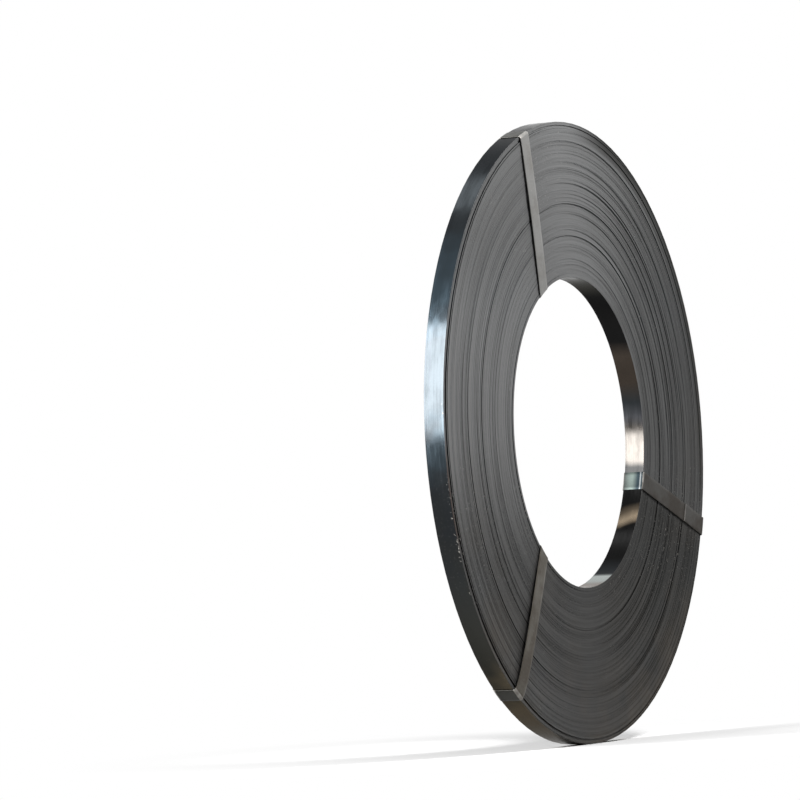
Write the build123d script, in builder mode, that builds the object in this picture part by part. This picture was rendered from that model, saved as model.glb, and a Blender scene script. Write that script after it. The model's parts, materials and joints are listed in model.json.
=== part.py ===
from build123d import *
import os

os.makedirs("parts", exist_ok=True)

# Sizes of the coil in millimetres
bore_diameter = 300.0
outer_diameter = 600.0
strip_width = 20.0
# Farthest that a group of turns is pushed along the axis out of the middle plane
turn_weave = 0.9

# Groups of turns from the bore out: the share of the winding at which each group ends,
# and its push along the axis as a share of turn_weave, where 1 is towards the front end.
# The strip has one width, so a group that stands back on one end stands proud on the other.
group_end_shares = (0.020, 0.262, 0.270, 0.463, 0.475, 0.700, 0.850, 0.968, 0.978, 1.0)
group_push_shares = (1.00, 0.25, -0.85, 0.45, -1.00, 0.40, 0.65, 1.00, -0.70, 0.40)

# Sizes of the ties: a bend is rounded on the outer face and eased by a flat on the inner one
tie_width = 18.0
tie_thickness = 0.6
tie_bend_radius = 1.6
tie_bend_flat = 0.55
# Slack of a tie off the proudest turns of the front end, off the rim and off the wall of the bore
tie_front_play = 1.2
tie_rim_play = 0.3
tie_bore_play = 0.05
# How far the middle of each tie bows out over the front end
top_tie_bow = 0.5
right_tie_bow = 0.3
lower_tie_bow = 2.2
# How far the two ends of the right tie lie over each other, from the rim inwards
right_tie_lap = 48.0

# Directions of the ties over the front end in degrees from +X towards +Z, and the distance
# at which the middle line of a tie put on aslant passes the axis
top_tie_heading = 100.6
top_tie_offset = 43.5
right_tie_heading = -18.7
right_tie_offset = 0.0
lower_tie_heading = 240.6
lower_tie_offset = -29.7

# Values worked out from the sizes
bore_radius = bore_diameter / 2
outer_radius = outer_diameter / 2
winding_build = outer_radius - bore_radius
end_depth = strip_width / 2 + turn_weave
tie_mid_radius = (bore_radius + outer_radius + tie_rim_play - tie_bore_play) / 2
tie_rim_radius = outer_radius + tie_rim_play + tie_thickness
front_slack = tie_front_play + lower_tie_bow
cut_length = winding_build + 2 * tie_width
cut_depth = 2 * (end_depth + front_slack + tie_width)
lap_top = end_depth + tie_front_play + right_tie_bow + 2 * tie_thickness

# The coil stands on its rim: its axis is level and its front end looks towards -Y.
# The origin is midway between the outermost faces of the ties, which stand off the front end only.
# end_plane is the middle plane of the strip seen from the front, and section_plane cuts
# the winding on one side of the axis, with the front end at its upper side.
coil_centre = (0, front_slack / 2, outer_radius)
end_plane = Plane(origin=coil_centre, x_dir=(1, 0, 0), z_dir=(0, -1, 0))
section_plane = Plane(origin=coil_centre, x_dir=(1, 0, 0), z_dir=(0, 0, -1))
coil_axis = Axis(coil_centre, (0, -1, 0))

# Wound strip: one turned body whose ends step from group to group of turns
group_start_shares = (0.0,) + group_end_shares[:-1]
with BuildPart() as strip_coil:
    with BuildSketch(section_plane):
        for start_share, end_share, push_share in zip(
            group_start_shares, group_end_shares, group_push_shares
        ):
            group_build = winding_build * (end_share - start_share)
            group_radius = bore_radius + winding_build * (start_share + end_share) / 2
            with Locations((group_radius, turn_weave * push_share)):
                Rectangle(group_build, strip_width)
    revolve(axis=coil_axis)
strip_coil.part.label = "strip_coil"
export_step(strip_coil.part, "parts/strip_coil.step")


def tie_outline(bow, margin, ease_corner, corner_size):
    """Closed section of a tie's inner face round the winding, grown outwards by margin."""
    bore_side = bore_radius - tie_bore_play - margin
    rim_side = outer_radius + tie_rim_play + margin
    back_side = -end_depth - margin
    front_side = end_depth + tie_front_play + margin
    with BuildSketch() as outline:
        with BuildLine():
            Polyline(
                (bore_side, front_side), (bore_side, back_side), (rim_side, back_side), (rim_side, front_side)
            )
            ThreePointArc(
                (rim_side, front_side), (tie_mid_radius, front_side + bow), (bore_side, front_side)
            )
        make_face()
        ease_corner(outline.vertices(), corner_size)
    return outline.sketch


# Ties: each is a flat band bent round the winding and cut to its width along its own line.
# The ends of the right tie are lapped on the front end; those of the others are out of sight.
for tie_name, heading, offset, bow, lap in (
    ("tie_top", top_tie_heading, top_tie_offset, top_tie_bow, 0),
    ("tie_right", right_tie_heading, right_tie_offset, right_tie_bow, right_tie_lap),
    ("tie_lower", lower_tie_heading, lower_tie_offset, lower_tie_bow, 0),
):
    tie_plane = end_plane.rotated((0, -heading, 0))
    with BuildPart() as tie:
        with BuildSketch(section_plane) as section:
            add(tie_outline(bow, tie_thickness, fillet, tie_bend_radius))
            if lap > 0:
                with Locations((tie_rim_radius - lap / 2, lap_top / 2)):
                    Rectangle(lap, lap_top)
                lap_corner = section.vertices().group_by(Axis.Y)[-1].sort_by(Axis.X)[-1]
                fillet(lap_corner, radius=tie_bend_radius)
            add(tie_outline(bow, 0, chamfer, tie_bend_flat), mode=Mode.SUBTRACT)
        revolve(axis=coil_axis)
        with Locations(tie_plane * Location((tie_mid_radius, offset, 0))):
            Box(cut_length, tie_width, cut_depth, mode=Mode.INTERSECT)
    tie.part.label = tie_name
    export_step(tie.part, f"parts/{tie_name}.step")
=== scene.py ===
"""Studio scene of a flat coil of blued steel strip, bound with three steel ties."""
import json
import logging
import math
from dataclasses import dataclass
from enum import Enum
from functools import partial, reduce

import bpy
import numpy as np
from mathutils import Matrix, Vector


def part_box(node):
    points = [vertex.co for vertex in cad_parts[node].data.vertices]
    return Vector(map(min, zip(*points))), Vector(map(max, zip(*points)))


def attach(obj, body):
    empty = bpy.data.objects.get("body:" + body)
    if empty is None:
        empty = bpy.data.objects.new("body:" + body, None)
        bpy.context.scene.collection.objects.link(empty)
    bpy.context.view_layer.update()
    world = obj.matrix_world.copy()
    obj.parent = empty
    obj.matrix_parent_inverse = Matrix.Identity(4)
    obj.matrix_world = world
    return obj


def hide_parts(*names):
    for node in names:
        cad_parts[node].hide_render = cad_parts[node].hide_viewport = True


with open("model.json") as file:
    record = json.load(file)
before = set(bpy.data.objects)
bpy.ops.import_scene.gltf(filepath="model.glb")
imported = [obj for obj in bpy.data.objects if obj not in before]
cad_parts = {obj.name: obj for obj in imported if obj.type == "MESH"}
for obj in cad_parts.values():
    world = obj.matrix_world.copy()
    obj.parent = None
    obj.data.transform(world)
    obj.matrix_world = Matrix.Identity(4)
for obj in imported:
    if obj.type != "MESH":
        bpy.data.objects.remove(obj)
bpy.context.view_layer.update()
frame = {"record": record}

BAKE_UV = "OFBake"
MM = 0.001
# Directions of the ties over the front end, in degrees from +X towards +Z
TOP_TIE_DEG = 100.6
RIGHT_TIE_DEG = -18.7
LOWER_TIE_DEG = 240.6
LOG = logging.getLogger("strip_coil")

Colour = tuple[float, float, float]
Point = tuple[float, float, float]
Socket = bpy.types.NodeSocket
Value = float | tuple | Socket
Inputs = dict[str | int, Value]

# Numbers of the sockets for the share and the two colours on Blender's Mix node, and of its result
MIX_INPUTS = (0, 6, 7)
MIX_OUTPUT = 2


class StripFace(Enum):
    """The two kinds of surface that a wound strip shows, as material slots of its mesh."""

    SLIT_EDGE = 0
    BLUED_FLAT = 1


class TieMark(Enum):
    """Marks that the mesh of a tie carries at its points for its finish."""

    BEND = "bend"
    EDGE = "edge"
    RIM = "rim"
    BORE = "bore"
    BORE_WAY = "bore_way"


class Ray(Enum):
    """Kinds of ray that see the white surround of the studio."""

    CAMERA = "Is Camera Ray"
    GLOSSY = "Is Glossy Ray"
    TRANSMISSION = "Is Transmission Ray"


@dataclass(frozen=True)
class Fade:
    """A smooth change from one value to another over a range of some measure."""

    start: Value
    end: Value
    from_value: float = 0.0
    to_value: float = 1.0


class NodeSheet:
    """Adds nodes to one node tree and joins them.

    A method that gives a socket gives the one that holds its result.
    """

    def __init__(self, tree: bpy.types.NodeTree) -> None:
        """Keep the tree and clear it of its default nodes."""
        self.tree = tree
        tree.nodes.clear()

    def add(self, kind: str, inputs: Inputs | None = None, **settings: object) -> bpy.types.Node:
        """Add one node.

        Args:
            kind: Blender's name for the class of node.
            inputs: what goes into its inputs, by their names or numbers.
            **settings: properties of the node and their values.

        Returns:
            The new node.
        """
        node = self.tree.nodes.new(kind)
        for name, value in settings.items():
            setattr(node, name, value)
        self.fill(node, inputs or {})
        return node

    def fill(self, node: bpy.types.Node, inputs: Inputs) -> None:
        """Join other sockets to the inputs of a node, or set them to plain values.

        Args:
            node: the node.
            inputs: the socket or the value for each input, by its name or number.
        """
        for key, value in inputs.items():
            if isinstance(value, Socket):
                self.tree.links.new(value, node.inputs[key])
            else:
                node.inputs[key].default_value = value

    def math(self, operation: str, *values: Value) -> Socket:
        """Work out one value from up to three by Blender's operation of that name."""
        return self.add("ShaderNodeMath", dict(enumerate(values)), operation=operation).outputs[0]

    def times(self, *values: Value) -> Value:
        """Multiply values with each other."""
        return reduce(partial(self.math, "MULTIPLY"), values)

    def most(self, *values: Value) -> Value:
        """Take the greatest of several values."""
        return reduce(partial(self.math, "MAXIMUM"), values)

    def total(self, *parts: tuple[Value, float]) -> Value:
        """Add up values, each times its weight.

        Args:
            *parts: pairs of a value and its weight.

        Returns:
            The sum.
        """
        so_far = 0.0
        for value, weight in parts:
            so_far = self.math("MULTIPLY_ADD", value, weight, so_far)
        return so_far

    def combine(self, *values: Value) -> Socket:
        """Make a vector of three values."""
        return self.add("ShaderNodeCombineXYZ", dict(enumerate(values))).outputs[0]

    def separate(self, vector: Socket) -> tuple[Socket, ...]:
        """Split a vector into its three values."""
        return tuple(self.add("ShaderNodeSeparateXYZ", {0: vector}).outputs)

    def stretch(self, vector: Socket, factors: Point) -> Socket:
        """Multiply each value of a vector by its own factor."""
        inputs = {0: vector, 1: factors}
        return self.add("ShaderNodeVectorMath", inputs, operation="MULTIPLY").outputs[0]

    def noise(
        self, vector: Socket, scale: Value = 1.0, detail: float = 2.0, roughness: float = 0.5
    ) -> Socket:
        """Sample a noise near 0.5, with as many waves for each unit of the vector as its scale."""
        inputs = {"Vector": vector, "Scale": scale, "Detail": detail, "Roughness": roughness}
        return self.add("ShaderNodeTexNoise", inputs).outputs[0]

    def wander(self, vector: Socket, scale: float, reach: float, roughness: float = 0.5) -> Socket:
        """Sample a noise near 0, which reaches as far as that in all, to move the border of a patch."""
        return self.math("MULTIPLY_ADD", self.noise(vector, scale, 3.0, roughness), reach, -reach / 2)

    def fade(self, value: Value, *fades: Fade) -> Value:
        """Carry a measure over to the product of what its fades make of it.

        Args:
            value: the measure.
            *fades: the fades.

        Returns:
            The product.
        """
        made = []
        for fade in fades:
            ranges = (value, fade.start, fade.end, fade.from_value, fade.to_value)
            inputs = dict(enumerate(ranges))
            node = self.add("ShaderNodeMapRange", inputs, interpolation_type="SMOOTHSTEP")
            made.append(node.outputs[0])
        return self.times(*made)

    def coats(self, colour: Value, *coats: tuple[Value, Value]) -> Value:
        """Lay coats over a colour.

        Args:
            colour: the colour underneath.
            *coats: the share and the colour of each coat, from the lowest up.

        Returns:
            The colour that shows.
        """
        for share, coat in coats:
            pair = [c if isinstance(c, Socket) else (*c, 1.0) for c in (colour, coat)]
            mix = self.add("ShaderNodeMix", dict(zip(MIX_INPUTS, (share, *pair))), data_type="RGBA")
            colour = mix.outputs[MIX_OUTPUT]
        return colour

    def bands(self, value: Value, stops: tuple[tuple[float, Colour], ...]) -> Socket:
        """Carry a value of -1 to 1 over to bands of colour.

        Args:
            value: the value.
            stops: places in that range in rising order, each with its colour.

        Returns:
            The socket of the colour.
        """
        node = self.add("ShaderNodeValToRGB", {0: self.math("MULTIPLY_ADD", value, 0.5, 0.5)})
        ramp = node.color_ramp
        while len(ramp.elements) < len(stops):
            ramp.elements.new(1.0)
        for element, (at, colour) in zip(ramp.elements, stops):
            element.position = (at + 1.0) / 2
            element.color = (*colour, 1.0)
        return node.outputs[0]

    def place(self, group: bpy.types.NodeTree, **inputs: Value) -> tuple[Socket, ...]:
        """Place a shared node group and give its outputs; an underscore in a name is a space."""
        named = {name.replace("_", " ").capitalize(): value for name, value in inputs.items()}
        return tuple(self.add("ShaderNodeGroup", named, node_tree=group).outputs)

    def bump(self, height: Socket, depth: float, strength: float) -> Socket:
        """Bend the normal by a height of 0 to 1, where 1 stands for the depth in metres."""
        inputs = {"Strength": strength, "Distance": depth, "Height": height}
        return self.add("ShaderNodeBump", inputs).outputs[0]


@dataclass(frozen=True)
class CoilSizes:
    """Sizes and place of the winding in metres."""

    bore_radius: float
    outer_radius: float
    strip_width: float
    weave: float
    axis_depth: float
    axis_height: float
    turns: int = 242

    @classmethod
    def from_frame(cls) -> "CoilSizes":
        """Read the sizes from the CAD node and from the record's mount for the bore.

        Returns:
            The sizes.
        """
        low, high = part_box("strip_coil")
        bore = next(mount for mount in frame["record"]["mounts"] if mount["name"] == "bore")
        width = bore["dims"]["length_mm"] * MM
        return cls(
            bore_radius=bore["dims"]["r_mm"] * MM,
            outer_radius=min(-low.x, high.x, (high.z - low.z) / 2),
            strip_width=width,
            weave=(high.y - low.y - width) / 2,
            axis_depth=(high.y + low.y) / 2,
            axis_height=(high.z + low.z) / 2,
        )

    @property
    def pitch(self) -> float:
        """Distance from one turn to the next."""
        return (self.outer_radius - self.bore_radius) / self.turns


@dataclass(frozen=True)
class CoilPlace:
    """Sockets that tell where on the coil a point of a material lies.

    The turn is counted from the bore, and the share is the turn's share of the winding. Across and up
    are the two parts of the direction from the axis.
    """

    sheet: NodeSheet
    point: Socket
    x: Socket
    y: Socket
    z: Socket
    turn: Socket
    share: Socket
    across: Socket
    up: Socket

    def within(self, **fades: Fade) -> Value:
        """Multiply fades over parts of the place, each given under the name of its part."""
        sheet = self.sheet
        return sheet.times(*(sheet.fade(getattr(self, part), fade) for part, fade in fades.items()))

    def towards(self, across: float, up: float) -> Value:
        """Measure how far the direction from the axis points a certain way."""
        return self.sheet.total((self.across, across), (self.up, up))


class SharedEffects:
    """Node groups that more than one of the steel finishes use."""

    def __init__(self) -> None:
        """Build each group once."""
        self.coil_polar = self._coil_polar()
        self.scuffs = self._scuffs()
        self.grime_and_reflection = self._grime_and_reflection()

    @staticmethod
    def _group(
        name: str, inputs: tuple[str, ...], outputs: tuple[str, ...]
    ) -> tuple[NodeSheet, bpy.types.bpy_prop_collection, bpy.types.Node]:
        """Start a node group that takes a vector and some values, and puts out values.

        Args:
            name: name of the group.
            inputs: its inputs after the vector.
            outputs: its outputs.

        Returns:
            The sheet of the group, the sockets that bring its inputs, and the node for its outputs.
        """
        tree = bpy.data.node_groups.new(name, "ShaderNodeTree")
        tree.interface.new_socket("Vector", in_out="INPUT", socket_type="NodeSocketVector")
        for in_out, labels in (("INPUT", inputs), ("OUTPUT", outputs)):
            for label in labels:
                tree.interface.new_socket(label, in_out=in_out, socket_type="NodeSocketFloat")
        sheet = NodeSheet(tree)
        return sheet, sheet.add("NodeGroupInput").outputs, sheet.add("NodeGroupOutput")

    def _coil_polar(self) -> bpy.types.NodeTree:
        """Build the group that finds the turn of a point and its direction from the axis.

        The turn is the distance from the axis past the bore, divided by the pitch of the turns.

        Returns:
            The group.
        """
        sheet, given, end = self._group(
            "coil_polar", ("Axis height", "Bore radius", "Turn pitch"), ("Turn", "Across", "Up")
        )
        x, _, z = sheet.separate(given["Vector"])
        height = sheet.math("SUBTRACT", z, given["Axis height"])
        radius = sheet.math("SQRT", sheet.math("MULTIPLY_ADD", x, x, sheet.times(height, height)))
        past_bore = sheet.math("SUBTRACT", radius, given["Bore radius"])
        turn = sheet.math("DIVIDE", past_bore, given["Turn pitch"])
        across, up = (sheet.math("DIVIDE", part, radius) for part in (x, height))
        sheet.fill(end, {"Turn": turn, "Across": across, "Up": up})
        return sheet.tree

    def _scuffs(self) -> bpy.types.NodeTree:
        """Build the group of small bare specks, which gather in patches.

        Returns:
            The group.
        """
        sheet, given, end = self._group("scuffs", ("Speck scale", "Patch scale", "Amount"), ("Mask",))
        grain = sheet.noise(given["Vector"], given["Speck scale"], detail=3.0, roughness=0.6)
        grain = sheet.math("MULTIPLY_ADD", given["Amount"], 0.06, grain)
        spots = sheet.noise(given["Vector"], given["Patch scale"], detail=1.0)
        spots = sheet.math("MULTIPLY_ADD", given["Amount"], 0.30, spots)
        specks = sheet.fade(grain, Fade(0.64, 0.72))
        patches = sheet.fade(spots, Fade(0.50, 0.64))
        sheet.fill(end, {"Mask": sheet.times(specks, patches)})
        return sheet.tree

    def _grime_and_reflection(self) -> bpy.types.NodeTree:
        """Build the group of dull brown tint, thickest low down and in patches: partly a grimy deposit
        and partly a painted reflection of brown ground.

        Returns:
            The group.
        """
        sheet, given, end = self._group("grime_and_reflection", ("Clean height", "Patch scale"), ("Mask",))
        _, _, z = sheet.separate(given["Vector"])
        low = sheet.fade(z, Fade(0.0, given["Clean height"], 1.0, 0.0))
        patches = sheet.noise(given["Vector"], given["Patch scale"], detail=4.0, roughness=0.6)
        sheet.fill(end, {"Mask": sheet.times(low, sheet.fade(patches, Fade(0.35, 0.68)))})
        return sheet.tree

    def locate(self, sheet: NodeSheet, point: Socket, coil: CoilSizes) -> CoilPlace:
        """Find where on the coil a point lies.

        Args:
            sheet: sheet of the material.
            point: Object coordinates.
            coil: sizes of the winding.

        Returns:
            The sockets of its place.
        """
        turn, across, up = sheet.place(
            self.coil_polar,
            vector=point,
            axis_height=coil.axis_height,
            bore_radius=coil.bore_radius,
            turn_pitch=coil.pitch,
        )
        share = sheet.math("DIVIDE", turn, coil.turns)
        return CoilPlace(sheet, point, *sheet.separate(point), turn, share, across, up)


def steel_material(name: str) -> tuple[bpy.types.Material, NodeSheet, bpy.types.Node, Socket]:
    """Start a steel material.

    Args:
        name: name of the material.

    Returns:
        The material, its sheet, its Principled shader and the socket of its Object coordinates.
    """
    material = bpy.data.materials.new(name)
    material.use_nodes = True
    sheet = NodeSheet(material.node_tree)
    shader = sheet.add("ShaderNodeBsdfPrincipled")
    sheet.add("ShaderNodeOutputMaterial", {"Surface": shader.outputs[0]})
    return material, sheet, shader, sheet.add("ShaderNodeTexCoord").outputs["Object"]


@dataclass(frozen=True)
class TurnLines:
    """Lines on the ends of the coil: a noise that is quick over the turns and slow round the coil."""

    per_turn: float
    around: float
    detail: float
    weight: float

    def sample(self, at: CoilPlace) -> Socket:
        """Sample the lines.

        Args:
            at: place on the coil.

        Returns:
            The socket of their value.
        """
        scaled = ((at.turn, self.per_turn), (at.across, self.around), (at.up, self.around))
        ways = at.sheet.combine(*(at.sheet.times(part, scale) for part, scale in scaled))
        return at.sheet.noise(ways, detail=self.detail, roughness=0.6)


@dataclass(frozen=True)
class SlitEdgeFinish:
    """Satin grey of the slit edges of the strip, lined from turn to turn.

    Fades named for a side or a height run over metres, and those named for turns over shares of the
    winding from the bore out. A way has a part across and a part up.
    """

    coil: CoilSizes
    dark: Colour = (0.074, 0.074, 0.074)
    light: Colour = (0.136, 0.138, 0.139)
    # Painted sheen: a lighter grey on the left of the face, fading out towards the top
    left_sheen: Colour = (0.185, 0.186, 0.187)
    # Dark of the painted shade on the face
    shade_dark: Colour = (0.0105, 0.0105, 0.0095)
    # Brown low down on the face: partly a grimy deposit and partly a painted reflection of brown ground
    grime_and_reflection: Colour = (0.060, 0.050, 0.039)
    bare: Colour = (0.300, 0.295, 0.285)
    rust: Colour = (0.062, 0.040, 0.030)
    specular: float = 0.16
    line_depth: float = 0.12 * MM
    line_bend: float = 0.6
    streak_share: float = 0.5
    broad: TurnLines = TurnLines(per_turn=0.055, around=0.8, detail=2.0, weight=0.14)
    fine: TurnLines = TurnLines(per_turn=0.30, around=1.3, detail=3.0, weight=0.52)
    hair: TurnLines = TurnLines(per_turn=1.00, around=2.5, detail=1.0, weight=0.34)
    contrast_way: tuple[float, float] = (0.82, 0.57)
    contrast: Fade = Fade(0.80, 0.96, 0.60, 1.75)
    tones: Fade = Fade(0.36, 0.64)
    polish: Fade = Fade(0.35, 0.65, 0.42, 0.58)
    sheen_left: Fade = Fade(-0.22, -0.06, 0.60, 0.0)
    sheen_height: Fade = Fade(0.34, 0.49, 1.0, 0.1)
    grime_and_reflection_height: float = 0.40
    grime_and_reflection_turns: Fade = Fade(0.4, 1.0, 0.25, 0.85)
    rust_turns: Fade = Fade(0.978, 0.990)
    rust_left: Fade = Fade(-0.20, -0.10, 0.9, 0.0)
    rust_height: tuple[Fade, Fade] = (Fade(0.18, 0.22), Fade(0.26, 0.31, 1.0, 0.0))
    speck_height: Fade = Fade(0.20, 0.28, 0.45, 0.0)
    speck_turns: Fade = Fade(0.70, 0.95)
    marks_left: Fade = Fade(-0.05, 0.08, 1.0, 0.12)
    marks_in_shade: Fade = Fade(0.3, 0.8, 0.5, 0.1)
    # Fades of the painted shade: to the right, low down, high on the left, between the right and lower
    # ties and on the outer turns of the upper right
    shade_right: Fade = Fade(0.0, 0.18, 0.0, 0.43)
    shade_low: Fade = Fade(0.17, 0.30, 0.62, 0.0)
    shade_left: Fade = Fade(-0.12, 0.0, 0.24, 0.0)
    shade_high: Fade = Fade(0.40, 0.50)
    shade_thick: Fade = Fade(-0.70, 0.30)
    shade_past_tie: Fade = Fade(-0.04, 0.10)
    shade_last_turns: Fade = Fade(0.85, 0.945)
    shade_rim_way: tuple[float, float] = (0.8, 0.5)
    shade_upper_right: Fade = Fade(0.50, 0.75, 0.0, 0.97)

    def material(self, effects: SharedEffects) -> bpy.types.Material:
        """Make the material.

        Args:
            effects: the shared node groups.

        Returns:
            The material.
        """
        material, sheet, shader, point = steel_material("slit_edges")
        at = effects.locate(sheet, point, self.coil)
        fine, tone = self._lined(at)
        # Painted shade over the face
        shade = self._painted_shade(at)
        # Brown low down: partly a grimy deposit, partly a painted reflection of brown ground
        grime_and_reflection_mask = sheet.place(
            effects.grime_and_reflection, vector=point, clean_height=self.grime_and_reflection_height, patch_scale=9.0
        )
        rusted = at.within(share=self.rust_turns, x=self.rust_left)
        colour = sheet.coats(
            self.dark,
            (sheet.fade(tone, self.tones), self.light),
            # Painted sheen on the left of the face
            (at.within(x=self.sheen_left, z=self.sheen_height), self.left_sheen),
            (shade, self.shade_dark),
            (sheet.times(grime_and_reflection_mask[0], at.within(share=self.grime_and_reflection_turns)), self.grime_and_reflection),
            (sheet.times(rusted, sheet.fade(at.z, *self.rust_height)), self.rust),
            (self._marks(at, effects, shade), self.bare),
        )
        looks = {
            "Base Color": colour,
            "Roughness": sheet.fade(fine, self.polish),
            "Specular IOR Level": self.specular,
            "Normal": sheet.bump(tone, self.line_depth, self.line_bend),
        }
        sheet.fill(shader, looks)
        return material

    def _lined(self, at: CoilPlace) -> tuple[Socket, Socket]:
        """Mix the lines of the turns, which stand out most on the upper right.

        Args:
            at: place on the coil.

        Returns:
            The fine lines by themselves, and the mix.
        """
        sheet = at.sheet
        samples = {lines: lines.sample(at) for lines in (self.broad, self.fine, self.hair)}
        mixed = sheet.total(*((sample, lines.weight) for lines, sample in samples.items()))
        contrast = sheet.fade(at.towards(*self.contrast_way), self.contrast)
        off_middle = sheet.math("SUBTRACT", mixed, 0.5)
        return samples[self.fine], sheet.math("MULTIPLY_ADD", off_middle, contrast, 0.5)

    def _marks(self, at: CoilPlace, effects: SharedEffects, shade: Socket) -> Value:
        """Scatter bare specks on the outer turns low down, and streaks along all turns.

        Args:
            at: place on the coil.
            effects: the shared node groups.
            shade: share of the painted shade, which hides the marks.

        Returns:
            The share of bare steel.
        """
        sheet = at.sheet
        knocked = at.within(z=self.speck_height, share=self.speck_turns)
        specks = sheet.place(
            effects.scuffs, vector=at.point, speck_scale=420.0, patch_scale=14.0, amount=knocked
        )
        drawn = sheet.combine(sheet.times(at.turn, 0.004), sheet.times(at.across, 0.05), at.up)
        streaks = sheet.place(effects.scuffs, vector=drawn, speck_scale=120.0, patch_scale=9.0)
        marks = sheet.most(specks[0], sheet.times(streaks[0], self.streak_share))
        return sheet.times(marks, sheet.fade(shade, self.marks_in_shade), at.within(x=self.marks_left))

    def _painted_shade(self, at: CoilPlace) -> Value:
        """Spread the painted shade, full between the right and lower ties and slight over the rest.

        It also gathers on the outermost turns of the upper right. Past each of the two ties the
        shade sets in where the distance from the tie's line, taken through the axis, turns positive.

        Args:
            at: place on the coil.

        Returns:
            The share of the painted shade.
        """
        sheet = at.sheet
        blot = sheet.wander(at.point, scale=6.0, reach=0.30)
        right = sheet.fade(sheet.math("MULTIPLY_ADD", blot, 0.2, at.x), self.shade_right)
        low = sheet.fade(sheet.math("MULTIPLY_ADD", blot, 0.3, at.z), self.shade_low)
        thin = sheet.most(right, low, at.within(x=self.shade_left, z=self.shade_high))
        thick = sheet.fade(sheet.math("ADD", at.x, blot), self.shade_thick)
        past = []
        for deg, way in ((RIGHT_TIE_DEG, 1.0), (LOWER_TIE_DEG, -1.0)):
            heading = math.radians(deg)
            distance = at.towards(way * math.sin(heading), -way * math.cos(heading))
            past.append(sheet.fade(distance, self.shade_past_tie))
        shade = sheet.coats(thin, (sheet.times(*past), thick))
        side = sheet.fade(at.towards(*self.shade_rim_way), self.shade_upper_right)
        return sheet.most(shade, sheet.times(at.within(share=self.shade_last_turns), side))


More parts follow.
